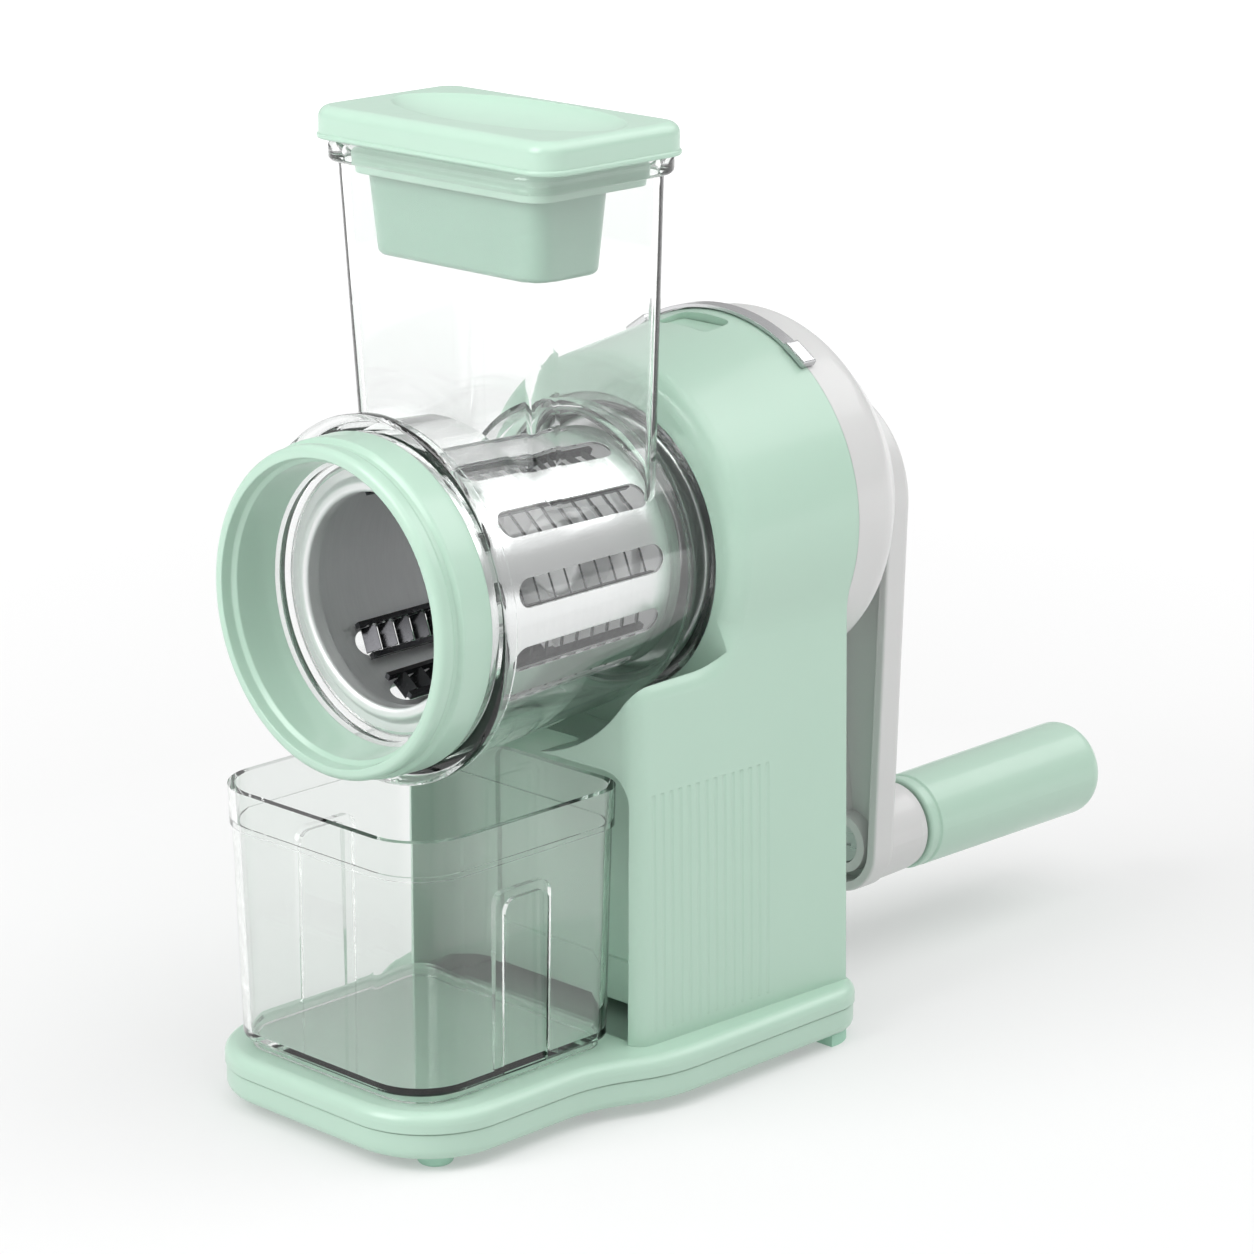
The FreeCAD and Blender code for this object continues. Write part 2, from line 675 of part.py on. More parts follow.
def shaft_seal():
    y = Y_HEAD - 3.1
    return turned([(SHAFT_R + RUN_CLEAR, y), (BUSH_R + 2, y), (BUSH_R + 3.3, y + 2),
                   (BUSH_R + 3.3, y + 3.1), (SHAFT_R + RUN_CLEAR, y + 3.1)])


def hexagon(across, y0, y1):
    reach = across / 2 / math.cos(math.pi / 6)
    turns = [math.radians(60 * i) for i in range(6)]
    points = [Vector(reach * math.cos(a), y0, AXIS_Z + reach * math.sin(a)) for a in turns]
    return Part.Face(outline(points)).extrude(ALONG * (y1 - y0))


def drive_shaft():
    """Steel shaft: hexagonal drum coupling at the front, flats for the crank at the rear."""
    core = rod(SHAFT_R, Y_HEAD - 22, Y_ARM + ARM_T - 2)
    key = hexagon(HEX_AF - 0.2, Y_HEAD - 24, Y_HEAD - 5.5)
    tip = cone(5.5, HEX_AF / 2 - 0.4, Y_HEAD - 25.2, Y_HEAD - 24)
    groove = tube(SHAFT_R + 1, SHAFT_R - 0.8, Y_HEAD + 26, Y_HEAD + 27.2)
    flats = [block(-10, 10, Y_ARM - 1.4, Y_ARM + ARM_T, AXIS_Z + side * 9.6 - 5, AXIS_Z + side * 9.6 + 5)
             for side in (-1, 1)]
    thread = rod(2.5, Y_ARM - 6, Y_ARM + ARM_T + 1)
    return fused([core, key, tip]).cut([groove, thread] + flats)


def circlip():
    y = Y_HEAD + 26.1
    ring = tube(SHAFT_R + 2.2, SHAFT_R - 0.7, y, y + 1.0)
    return ring.cut(block(-2, 2, y - 1, y + 2, AXIS_Z, AXIS_Z + 12))


def thrust_washer():
    y = Y_HEAD + 24.6
    return tube(WASHER_R, SHAFT_R + 0.02, y, y + 1.4)


# ---------------------------------------------------------------- grating drum
def drum_radius(y):
    share = (y - DRUM_Y0) / (DRUM_Y1 - DRUM_Y0)
    return DRUM_R_FRONT + share * (DRUM_R_REAR - DRUM_R_FRONT)


def slot_angles():
    """Slots all round, but for the plain sector on one side."""
    first = range(SLOTS_BEFORE_SEAM)
    last = range(-SLOTS_AFTER_SEAM, 0)
    return [SLOT_PHASE + SLOT_PITCH * i for i in list(first) + list(last)]


def slot_cutter():
    """One long round-ended slot through the top of the drum wall."""
    half = SLOT_WIDTH / 2
    y0 = SLOT_Y0 + half
    y1 = SLOT_Y1 - half
    z = AXIS_Z + 25
    body = block(-half, half, y0, y1, z, z + 20)
    caps = [Part.makeCylinder(half, 20, Vector(0, y, z), UP) for y in (y0, y1)]
    return fused([body] + caps)


def drum_shell():
    outer = cone(DRUM_R_FRONT, DRUM_R_REAR, DRUM_Y0 + 3, DRUM_Y1)
    inner = cone(DRUM_R_FRONT - DRUM_SHEET, DRUM_R_REAR - DRUM_SHEET, DRUM_Y0 + 3, DRUM_Y1)
    wall = outer.cut(inner)
    cutter = slot_cutter()
    return wall.cut([spin(cutter, angle) for angle in slot_angles()])


def vane_comb():
    """Row of leaning cutting vanes behind one slot, carried by two side rails."""
    top = AXIS_Z + drum_radius((SLOT_Y0 + SLOT_Y1) / 2) - DRUM_SHEET - 1.9
    half = SLOT_WIDTH / 2
    mid = half + RAIL_W / 2
    rails = [block(side * mid - RAIL_W / 2, side * mid + RAIL_W / 2, SLOT_Y0 + 1, SLOT_Y1 - 1, top - RAIL_H, top)
             for side in (-1, 1)]
    run = SLOT_Y1 - SLOT_Y0 - 2 * VANE_MARGIN
    vanes = []
    for i in range(VANES):
        y = SLOT_Y0 + VANE_MARGIN + (i + 0.5) * run / VANES
        root = block(-half - 0.2, half + 0.2, y - VANE_T / 2, y + VANE_T / 2, top - 1.5, top - 0.4)
        blade = block(-half + 0.3, half - 0.3, y - VANE_T / 2, y + VANE_T / 2, top - 2.4, top + 2.2)
        vane = root.fuse(blade)
        vane.rotate(Vector(0, y, top - 1), ACROSS, VANE_TILT)
        vane.rotate(Vector(0, y, top - 1), UP, 14)
        vanes.append(vane)
    tilt = math.degrees(math.atan((DRUM_R_FRONT - DRUM_R_REAR) / (DRUM_Y1 - DRUM_Y0)))
    comb = fused(rails + vanes)
    comb.rotate(Vector(0, (SLOT_Y0 + SLOT_Y1) / 2, top), ACROSS, -tilt)
    return comb


def drum_vanes():
    comb = vane_comb()
    return Part.makeCompound([spin(comb, angle) for angle in slot_angles()])


def drum_front_rim():
    """Rolled steel rim that narrows the drum's open mouth."""
    y = DRUM_Y0
    points = [(DRUM_OPEN_R, y + 5), (DRUM_OPEN_R, y), (DRUM_OPEN_R + 3, y), (DRUM_OPEN_R + 4.5, y + 1.6),
              (DRUM_R_FRONT + 0.9, y + 1.6), (DRUM_R_FRONT + 0.9, y + 6), (DRUM_R_FRONT, y + 6),
              (DRUM_R_FRONT, y + 3), (DRUM_OPEN_R + 1.2, y + 3), (DRUM_OPEN_R + 1.2, y + 5)]
    return turned(points, [0, 1.4, 1.4, 1, 0.8, 0, 0, 0, 0, 0])


def drum_hub():
    """Back plate of the drum with the hexagonal drive socket."""
    y1 = DRUM_Y1
    plate = turned([(0, y1 - 2.2), (drum_radius(y1) - DRUM_SHEET, y1 - 2.2), (drum_radius(y1) - DRUM_SHEET, y1),
                    (0, y1)])
    boss = turned([(0, y1 - 17), (HUB_R - 2, y1 - 17), (HUB_R, y1 - 12), (HUB_R, y1 + 3.5), (0, y1 + 3.5)],
                  [0, 2, 2, 1, 0])
    step = turned([(0, y1 - 5), (22, y1 - 5), (22, y1), (0, y1)], [0, 2, 0, 0])
    body = fused([plate, boss, step])
    return body.cut(hexagon(HEX_AF, y1 - 15.5, y1 + 10))


# ---------------------------------------------------------------- barrel and locking ring
def barrel_hopper():
    y0 = Y_BARREL
    ys = Y_SHOULDER
    yf = Y_HEAD - 0.5 - REAR_FLANGE_T
    outer = turned([(0, y0 - 7), (SPIGOT_R, y0 - 7), (SPIGOT_R, y0 + 0.5), (FLANGE_R, y0 + 0.5),
                    (FLANGE_R, y0 + FLANGE_T + 0.5), (BARREL_R_FRONT, y0 + FLANGE_T + 0.5),
                    (BARREL_R_REAR, ys), (NECK_R, ys + 3), (NECK_R, yf), (REAR_FLANGE_R, yf),
                    (REAR_FLANGE_R, yf + REAR_FLANGE_T), (TAIL_R, yf + REAR_FLANGE_T),
                    (TAIL_R, Y_HEAD + 6.0), (0, Y_HEAD + 6.0)],
                   [0, 0.8, 0, 1.2, 1.2, 1.5, 2.5, 1.5, 1.0, 0.8, 0.8, 0, 0, 0])
    chamber_r = BARREL_R_FRONT - BARREL_WALL
    back_r = BARREL_R_REAR - BARREL_WALL
    inner = turned([(0, y0 - 8), (MOUTH_R, y0 - 8), (MOUTH_R, y0), (LIP_R, y0), (LIP_R, y0 + 2),
                    (chamber_r, y0 + 2), (chamber_r, y0 + 5), (back_r, ys - 1), (TAIL_BORE_R, ys + 2),
                    (TAIL_BORE_R, Y_HEAD + 7), (0, Y_HEAD + 7)], [0, 0, 0, 0, 0, 1, 0, 2, 1, 0, 0])
    chute = drafted_box(HOPPER_HALF_X, HOPPER_Y0, HOPPER_Y1, AXIS_Z + 12, COLLAR_Z + 1, HOPPER_CORNER,
                        HOPPER_CORNER, HOPPER_DRAFT, HOPPER_DRAFT_FRONT, HOPPER_DRAFT_REAR)
    w = HOPPER_WALL
    bore = drafted_box(HOPPER_HALF_X - w, HOPPER_Y0 + w, HOPPER_Y1 - w, AXIS_Z + 12, COLLAR_Z + 10,
                       HOPPER_CORNER - w, HOPPER_CORNER - w, HOPPER_DRAFT, HOPPER_DRAFT_FRONT,
                       HOPPER_DRAFT_REAR)
    over = COLLAR_OVER
    collar = drafted_box(HOPPER_HALF_X + over, HOPPER_Y0 - 3, HOPPER_Y1 + 3, COLLAR_Z, COLLAR_Z + COLLAR_H,
                         HOPPER_CORNER + 4, HOPPER_CORNER + 4, 0)
    collar = softened(collar, 1.8, lambda b: b.ZLength < 0.1)
    lugs = [spin(lug(LUG_R, Y_HEAD + WALL + 0.4, Y_HEAD + 6.0, LUG_ANGLE), i * 360 / LUG_COUNT)
            for i in range(LUG_COUNT)]
    lugs = [piece.cut(rod(TAIL_BORE_R, -60, 0)) for piece in lugs]
    stops = [spin(lug(SPIGOT_R + 0.8, y0 - 5.5, y0 - 3.0, 20), 60 + i * 120) for i in range(3)]
    stops = [piece.cut(rod(MOUTH_R, -150, -100)) for piece in stops]
    body = fused([outer, chute, collar]).cut([inner, bore])
    return body.fuse(lugs + stops).removeSplitter()


def locking_ring():
    y = Y_RING
    end = y + RING_LEN
    floor = y + RING_GROOVE
    sleeve_end = Y_BARREL - 0.6
    points = [(SLEEVE_R, sleeve_end), (SLEEVE_R + 0.9, y + 4.2), (MOUTH_R + 0.2, y + 3.2), (MOUTH_R + 0.7, y),
              (RING_LIP_R, y),
              (RING_LIP_R, y + 4), (RING_LIP_R - 0.5, y + 5), (RING_LIP_R - 0.5, y + 6.4), (RING_R - 0.2, y + 7.4),
              (RING_R, end), (SPIGOT_R + 0.3, end), (SPIGOT_R + 0.3, end - 1.6), (THREAD_R, end - 1.6),
              (THREAD_R, end - 5.6), (SPIGOT_R + 0.3, end - 5.6), (SPIGOT_R + 0.3, floor),
              (MOUTH_R - 0.4, floor), (MOUTH_R - 0.4, sleeve_end)]
    radii = [0.3, 0.5, 0.5, 0.3, 2.0, 0.8, 0.4, 0.4, 0.8, 1.0, 0, 0, 0, 0, 0, 0, 0, 0]
    return turned(points, radii)


def ring_gasket():
    y = Y_RING + RING_GROOVE
    return tube(SPIGOT_R - 0.1, MOUTH_R + 0.1, y + 0.02, y + 1.0)


# ---------------------------------------------------------------- pusher
def pusher_lid():
    z0 = COLLAR_Z + COLLAR_H + LID_GAP - 0.5
    z1 = z0 + LID_H
    lid = drafted_box(LID_HALF_X - 0.5, LID_Y0 + 0.5, LID_Y1 - 0.5, z0 + 1.4, z1, LID_CORNER, LID_CORNER, 0.0)
    lid = softened(lid, 3.4, lambda b: b.ZMin > z1 - 0.1)
    lip = drafted_box(LID_HALF_X, LID_Y0, LID_Y1, z0, z0 + 1.6, LID_CORNER + 0.5, LID_CORNER + 0.5, 0.0)
    lip = softened(lip, 0.7, lambda b: b.ZLength < 0.1)
    inside = HOPPER_WALL + PLUG_CLEAR
    plug = drafted_box(HOPPER_HALF_X - inside, HOPPER_Y0 + inside, HOPPER_Y1 - inside, z0 - PLUG_H, z0 + 1,
                       6, 6, 0.9)
    bowl = Part.makeSphere(1.0)
    stretch = FreeCAD.Matrix()
    stretch.scale(Vector(BOWL_HALF_X, BOWL_HALF_Y, BOWL_DEPTH + BOWL_LIFT))
    bowl = bowl.transformGeometry(stretch)
    bowl.translate(Vector(1, (LID_Y0 + LID_Y1) / 2 + 3, z1 + BOWL_LIFT))
    hollow = drafted_box(HOPPER_HALF_X - inside - 2.4, HOPPER_Y0 + inside + 2.4, HOPPER_Y1 - inside - 2.4,
                         z0 - PLUG_H - 1, z0 + 0.2, 4, 4, 0)
    body = fused([lid, lip, plug]).cut([bowl, hollow])
    return softened(body, 1.1, lambda b: abs(b.ZMax - z1) < 0.01 and b.ZLength < 0.01 and b.YLength > 5
                    and b.XLength > 20)


def pusher_plunger():
    """Hollow plunger snapped up inside the pusher's plug."""
    z0 = COLLAR_Z + COLLAR_H + LID_GAP - 0.5
    inside = HOPPER_WALL + PLUG_CLEAR + 2.5
    outer = drafted_box(HOPPER_HALF_X - inside, HOPPER_Y0 + inside, PLUNGER_Y1, PLUNGER_BOTTOM, z0 + 0.1,
                        7, 7, 2.4)
    w = PLUNGER_WALL
    inner = drafted_box(HOPPER_HALF_X - inside - w, HOPPER_Y0 + inside + w, PLUNGER_Y1 - w,
                        PLUNGER_BOTTOM + w, z0 + 0.7, 5, 5, 2.2)
    outer = softened(outer, 2.0, lambda b: b.ZMax < PLUNGER_BOTTOM + 0.1)
    return outer.cut(inner)


# ---------------------------------------------------------------- release button
def button_blank(grow, z0, z1):
    half_x = BUTTON_X_LEN / 2 + grow
    half_y = BUTTON_Y_LEN / 2 + grow
    blank = block(-half_x, half_x, BUTTON_Y - half_y, BUTTON_Y + half_y, z0, z1)
    return softened(blank, 2.5 + grow, lambda b: b.ZLength > 1 and b.XLength < 0.1 and b.YLength < 0.1)


def release_button():
    top = head_top(BUTTON_Y) - 1.6
    key = button_blank(0, top - 7, top)
    dish = Part.makeCylinder(26, 30, Vector(-15, BUTTON_Y, top + 25.2), ACROSS)
    foot = block(-BUTTON_X_LEN / 2 - 2, BUTTON_X_LEN / 2 + 2, BUTTON_Y - BUTTON_Y_LEN / 2 - 2,
                 BUTTON_Y + BUTTON_Y_LEN / 2 + 2, top - 9, top - 6.6)
    return fused([key, foot]).cut(dish)


def latch_pawl():
    """Tongue under the button that reaches forward to hold the barrel."""
    top = head_top(BUTTON_Y) - 1.6 - 9
    stem = block(-4, 4, BUTTON_Y - 4, BUTTON_Y + 1, top - 5, top)
    bar = block(-4, 4, Y_HEAD + WALL + 9, BUTTON_Y + 1, top - 5, top - 2.5)
    nose = block(-4, 4, Y_HEAD + WALL + 8.8, Y_HEAD + WALL + 11, top - 5, top - 0.5)
    return fused([stem, bar, nose])


def coil_spring(x, y, z0, z1, radius, wire, turns):
    helix = Part.makeHelix((z1 - z0 - wire) / turns, z1 - z0 - wire, radius)
    helix.translate(Vector(x, y, z0 + wire / 2))
    start = helix.Edges[0].valueAt(helix.Edges[0].FirstParameter)
    section = Part.Wire(Part.makeCircle(wire / 2, start, ALONG))
    return Part.Wire(helix.Edges).makePipeShell([section], True, True)


def button_spring():
    top = head_top(BUTTON_Y) - 1.6 - 14
    return coil_spring(0, BUTTON_Y - 1.5, top - 9.6, top - 0.1, 2.6, 0.7, 5)


def spring_seat():
    """Bracket on the bearing carrier that holds the button's spring."""
    top = head_top(BUTTON_Y) - 1.6 - 14 - 9.7
    shelf = block(-5, 5, Y_HEAD + WALL + 8, BUTTON_Y + 3, top - 2, top)
    drop = block(-5, 5, Y_HEAD + WALL + 8, Y_HEAD + WALL + 10, top - 8, top)
    return fused([shelf, drop])


# ---------------------------------------------------------------- crank
def grip_axis():
    return CRANK_X, AXIS_Z - CRANK_DROP


def arm_plan(inset, y):
    """Outline of the arm seen along Y: two round ends joined by straight sides."""
    gx, gz = grip_axis()
    length = math.hypot(gx, AXIS_Z - gz)
    r0 = ARM_HEAD_R - inset
    r1 = ARM_END_R - inset
    lean = math.asin((r0 - r1) / length)

    def at(centre_v, radius, angle):
        return Vector(radius * math.cos(angle), y, centre_v + radius * math.sin(angle))

    points = [at(0, r0, -lean), at(0, r0, math.pi / 2), at(0, r0, math.pi + lean),
              at(-length, r1, math.pi + lean), at(-length, r1, -math.pi / 2), at(-length, r1, -lean)]
    edges = [
        Part.Arc(points[0], points[1], points[2]).toShape(),
        Part.makeLine(points[2], points[3]),
        Part.Arc(points[3], points[4], points[5]).toShape(),
        Part.makeLine(points[5], points[0]),
    ]
    wire = Part.Wire(edges)
    wire.translate(Vector(0, 0, AXIS_Z))
    wire.rotate(Vector(0, 0, AXIS_Z), ALONG, -math.degrees(math.atan2(gx, AXIS_Z - gz)))
    return wire


def crank_arm():
    gx, gz = grip_axis()
    y1 = Y_ARM + ARM_T
    arm = Part.Face(arm_plan(0, Y_ARM)).extrude(ALONG * ARM_T)
    arm = softened(arm, 2.6, lambda b: b.YMin > y1 - 0.1)
    arm = softened(arm, 0.8, lambda b: b.YMax < Y_ARM + 0.1)
    recess = Part.Face(arm_plan(ARM_RIM, Y_ARM - 1)).extrude(ALONG * (ARM_T - ARM_FLOOR + 1))
    hub = rod(15, Y_ARM, y1)
    end = rod(9.5, Y_ARM + 1.5, y1, gx, gz)
    length = math.hypot(gx, AXIS_Z - gz)
    rib = block(-1.2, 1.2, Y_ARM + 1.2, y1 - 1, AXIS_Z - length + 6, AXIS_Z - 10)
    rib.rotate(Vector(0, 0, AXIS_Z), ALONG, -math.degrees(math.atan2(gx, AXIS_Z - gz)))
    horn = turned([(0, y1 - 3), (ARM_END_R - 0.6, y1 - 3), (ARM_END_R - 1.0, Y_GRIP - 4),
                   (GRIP_R0 - 1.0, Y_GRIP - 0.8), (0, Y_GRIP - 0.8)], [0, 0, 3, 0.8, 0], gx, gz)
    body = fused([arm.cut(recess), hub, end, rib, horn])
    neck = rod(11.5, Y_ARM - 1.4, Y_ARM + 1)
    body = body.fuse(neck)
    bores = [
        rod(SHAFT_R, Y_ARM - 3, Y_ARM + ARM_T - 2).common(
            block(-10, 10, Y_ARM - 5, y1, AXIS_Z - 4.6, AXIS_Z + 4.6)),
        rod(2.7, Y_ARM, y1 + 1),
        rod(9, y1 - 2, y1 + 1),
        rod(PIN_R, Y_ARM - 1, Y_GRIP, gx, gz),
        rod(6.5, Y_ARM - 1, Y_ARM + 5, gx, gz),
    ]
    return body.cut(bores)


def crank_screw():
    y1 = Y_ARM + ARM_T
    return screw(0, y1 - 0.4, AXIS_Z, 13, 4.5, 2.5, 1.6, -1)


def crank_cap():
    y1 = Y_ARM + ARM_T
    cap = turned([(0, y1 - 0.3), (9, y1 - 0.3), (9, y1), (12, y1), (12, y1 + 1.6), (0, y1 + 2.2)],
                 [0, 0, 0, 0, 1.2, 0])
    return cap


def handle_pin():
    gx, gz = grip_axis()
    head = rod(6.2, Y_ARM + 2.4, Y_ARM + 5, gx, gz)
    stem = rod(PIN_R, Y_ARM + 4, Y_GRIP_END - 12, gx, gz)
    tip = rod(2.5, Y_GRIP_END - 12, Y_GRIP_END - 7.5, gx, gz)
    cross = block(gx - 3.4, gx + 3.4, Y_ARM + 2, Y_ARM + 3.6, gz - 0.6, gz + 0.6)
    return fused([head, stem, tip]).cut([cross, cross.copy().rotate(Vector(gx, 0, gz), ALONG, 90)])


def grip_sleeve():
    gx, gz = grip_axis()
    end = Y_GRIP_END
    body = turned([(0, Y_GRIP), (GRIP_R0, Y_GRIP), (GRIP_R0, Y_GRIP + 3), (GRIP_R0 - 0.5, Y_GRIP + 3.6),
                   (GRIP_R0 - 0.5, Y_GRIP + 4.4), (GRIP_R0 + 0.1, Y_GRIP + 5), (GRIP_R1, end), (0, end)],
                  [0, 1.0, 0.3, 0.2, 0.2, 0.3, GRIP_END_R, 0], gx, gz)
    bore = rod(PIN_R + RUN_CLEAR, Y_GRIP - 1, end + 1, gx, gz)
    well = rod(PLUG_R + 0.1, Y_GRIP_END - 12, end + 1, gx, gz)
    return body.cut([bore, well])


def grip_nut():
    gx, gz = grip_axis()
    nut = tube(4.6, 2.5, Y_GRIP_END - 11.7, Y_GRIP_END - 8, gx, gz)
    washer = tube(6.2, 2.5, Y_GRIP_END - 11.95, Y_GRIP_END - 11, gx, gz)
    return fused([nut, washer])


def grip_cap():
    gx, gz = grip_axis()
    y = Y_GRIP_END
    return turned([(0, y - 5), (PLUG_R, y - 5), (PLUG_R, y), (0, y)], [0, 0.5, 0.4, 0], gx, gz)


# ---------------------------------------------------------------- container
def channels(grow, z0):
    half = CHANNEL_W / 2 + grow
    cuts = []
    for side in (-1, 1):
        x_in = side * (BOX_HALF_X - CHANNEL_DEPTH - grow)
        x_out = side * (BOX_HALF_X + 5)
        cut = block(min(x_in, x_out), max(x_in, x_out), CHANNEL_Y - half, CHANNEL_Y + half, z0,
                    CHANNEL_TOP + grow)
        cut = softened(cut, 4, lambda b: b.XLength > 3 and b.YLength < 0.1 and b.ZMin > CHANNEL_TOP - 0.1)
        cuts.append(cut)
    return cuts


def container():
    step_z = BOX_Z1 - BOX_RIM_H
    belly = BOX_Z0 + BOX_FOOT_H
    outer = drafted_box(BOX_HALF_X - 0.7, BOX_Y0 + 0.7, BOX_Y1 - 0.7, belly, step_z + 1, BOX_FRONT_R,
                        BOX_REAR_R, BOX_DRAFT)
    outer = softened(outer, 1.3, lambda b: b.ZMax < belly + 0.1)
    skirt = drafted_box(BOX_HALF_X - BOX_FOOT_INSET, BOX_Y0 + BOX_FOOT_INSET, BOX_Y1 - BOX_FOOT_INSET, BOX_Z0,
                        belly + 1, BOX_FRONT_R - 3, BOX_REAR_R - 3, 0.2)
    rim = drafted_box(BOX_HALF_X, BOX_Y0, BOX_Y1, step_z, BOX_Z1, BOX_FRONT_R, BOX_REAR_R, 0.2)
    w = BOX_WALL
    floor = belly + BOX_WALL
    inner = drafted_box(BOX_HALF_X - 0.7 - w, BOX_Y0 + 0.7 + w, BOX_Y1 - 0.7 - w, floor, step_z + 1,
                        BOX_FRONT_R - w, BOX_REAR_R - w, BOX_DRAFT)
    rim_hole = drafted_box(BOX_HALF_X - w, BOX_Y0 + w, BOX_Y1 - w, step_z + 0.8, BOX_Z1 + 1, BOX_FRONT_R - w,
                           BOX_REAR_R - w, 0.2)
    inside = BOX_FOOT_INSET + 2.0
    under = drafted_box(BOX_HALF_X - inside, BOX_Y0 + inside, BOX_Y1 - inside, BOX_Z0 - 1, belly - 0.4,
                        BOX_FRONT_R - 5, BOX_REAR_R - 5, 0)
    inner = inner.cut(channels(w, floor - 1))
    shell = fused([outer, rim, skirt]).cut([under] + channels(0, BOX_Z0 - 1))
    return shell.cut([inner, rim_hole])


# ---------------------------------------------------------------- output
PIECES = {
    "main_housing": main_housing,
    "base_plate": base_plate,
    "feet": feet,
    "base_screws": base_screws,
    "rear_cover": rear_cover,
    "cover_screws": cover_screws,
    "trim_band": trim_band,
    "bearing_carrier": bearing_carrier,
    "carrier_screws": carrier_screws,
    "front_plate": front_plate,
    "front_bush": lambda: bush(Y_HEAD + 2, Y_HEAD + 22.6, Y_HEAD + 22.6),
    "rear_bush": lambda: bush(Y_DOME - 14.5, Y_DOME + BOSS_T - 0.5, Y_DOME - 15.5),
    "shaft_seal": shaft_seal,
    "spring_seat": spring_seat,
    "button_spring": button_spring,
    "release_button": release_button,
    "latch_pawl": latch_pawl,
    "barrel_hopper": barrel_hopper,
    "locking_ring": locking_ring,
    "ring_gasket": ring_gasket,
    "pusher_lid": pusher_lid,
    "pusher_plunger": pusher_plunger,
    "drive_shaft": drive_shaft,
    "circlip": circlip,
    "thrust_washer": thrust_washer,
    "drum_shell": drum_shell,
    "drum_vanes": drum_vanes,
    "drum_front_rim": drum_front_rim,
    "drum_hub": drum_hub,
    "crank_arm": crank_arm,
    "crank_screw": crank_screw,
    "crank_cap": crank_cap,
    "handle_pin": handle_pin,
    "grip_sleeve": grip_sleeve,
    "grip_nut": grip_nut,
    "grip_cap": grip_cap,
    "container": container,
}


def main():
    os.makedirs("parts", exist_ok=True)
    for name, make in PIECES.items():
        shape = make()
        shape.exportStep("parts/" + name + ".step")
        print(name, shape.isValid(), len(shape.Solids), round(shape.Volume / 1000, 2), "cm3")


main()
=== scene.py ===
import json
import math

import bpy
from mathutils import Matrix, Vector


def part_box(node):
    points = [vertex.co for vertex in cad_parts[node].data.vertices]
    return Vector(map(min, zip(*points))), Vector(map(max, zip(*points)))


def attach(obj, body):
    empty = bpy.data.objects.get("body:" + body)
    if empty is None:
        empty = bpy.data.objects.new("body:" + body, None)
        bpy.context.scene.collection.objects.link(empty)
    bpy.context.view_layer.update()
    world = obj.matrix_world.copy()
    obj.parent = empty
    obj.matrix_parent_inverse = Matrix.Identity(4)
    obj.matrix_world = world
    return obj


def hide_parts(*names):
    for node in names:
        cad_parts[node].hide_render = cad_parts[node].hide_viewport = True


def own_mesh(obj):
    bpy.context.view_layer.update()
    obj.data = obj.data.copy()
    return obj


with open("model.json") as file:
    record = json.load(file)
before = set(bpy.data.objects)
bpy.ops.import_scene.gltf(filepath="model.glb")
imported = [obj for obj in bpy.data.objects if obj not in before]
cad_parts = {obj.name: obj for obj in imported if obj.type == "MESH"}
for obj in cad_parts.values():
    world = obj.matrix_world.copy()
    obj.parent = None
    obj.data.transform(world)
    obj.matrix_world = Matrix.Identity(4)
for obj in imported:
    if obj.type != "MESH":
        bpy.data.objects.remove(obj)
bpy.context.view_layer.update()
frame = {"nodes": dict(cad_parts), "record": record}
NODES = frame["nodes"]

# Camera, in degrees, metres and (lens and sensor) millimetres
VIEW_AZIMUTH = 44.5
VIEW_ELEVATION = 16.0
VIEW_DISTANCE = 1.2083
VIEW_TARGET = Vector((0.0601, -0.0922, 0.1490))
VIEW_LENS = 126.3
SENSOR = 36.0

# Colours of the mouldings, linear: the main one and the one its flow marks run to. The plunger's
# pair is the mint darkened as painted shade for the shade inside the hopper.
MINT = (0.452, 0.632, 0.521)
MINT_DEEP = (0.438, 0.618, 0.507)
MINT_PAINTED_SHADE = (0.300, 0.460, 0.368)
MINT_PAINTED_SHADE_DEEP = (0.292, 0.452, 0.360)
WHITE = (0.625, 0.625, 0.62)
WHITE_DEEP = (0.61, 0.61, 0.605)

# The middle band of a noise texture, which is stretched to the full range
NOISE_LOW = 0.3
NOISE_HIGH = 0.7

# Moulded plastic: noise scales are per metre, lengths in metres
FLOW_SCALE = 14.0
HAZE_SCALE = 90.0
SKIN_SCALE = 900.0
SKIN_BUMP = 0.06
SKIN_HEIGHT = 0.00004
MOULDED_EDGE = 0.0005
HAZE_GLOSSIER = 0.05
HAZE_DULLER = 0.06
SUBSURFACE_SHARE = 0.08
SUBSURFACE_COLOUR = (0.6, 1.0, 0.8)
SUBSURFACE_DEPTH = 0.003
MOULDED_COAT_ROUGHNESS = 0.10
PLASTIC_IOR = 1.5

# Clear plastic
CLEAR_IOR = 1.20
CLEAR_COAT_ROUGHNESS = 0.03
CLEAR_ROUGHNESS_LOW = 0.01
CLEAR_ROUGHNESS_HIGH = 0.036
CLEAR_FLOW_SCALE = 30.0
CLEAR_FLOW_SHADE = 0.985
CLEAR_HAZE_SCALE = 160.0
RIPPLE_SCALE = 60.0
RIPPLE_BUMP = 0.05
RIPPLE_HEIGHT = 0.00012

# Steel: height of the drum axis over the table, the drum's wall and the brushed lines
AXIS_Z = 0.1521
DRUM_TAPER = 0.0313          # radius lost per metre of depth
DRUM_WALL_RADIUS = 0.03374   # middle of the drum's wall, carried on to the origin's depth
DRUM_INSIDE_DULLER = 0.33    # roughness added on the drum's inner face
LINE_HEIGHT = 0.000003
LINE_SHADE = 0.96
LINE_GLOSSIER = 0.015
LINE_DULLER = 0.02

# Rubber
GRAIN_SCALE = 1400.0
GRAIN_BUMP = 0.2
GRAIN_HEIGHT = 0.0001
RUBBER_TONE_SCALE = 40.0
RUBBER_SHADE = 0.9
RUBBER_ROUGHNESS_LOW = 0.55
RUBBER_ROUGHNESS_HIGH = 0.75

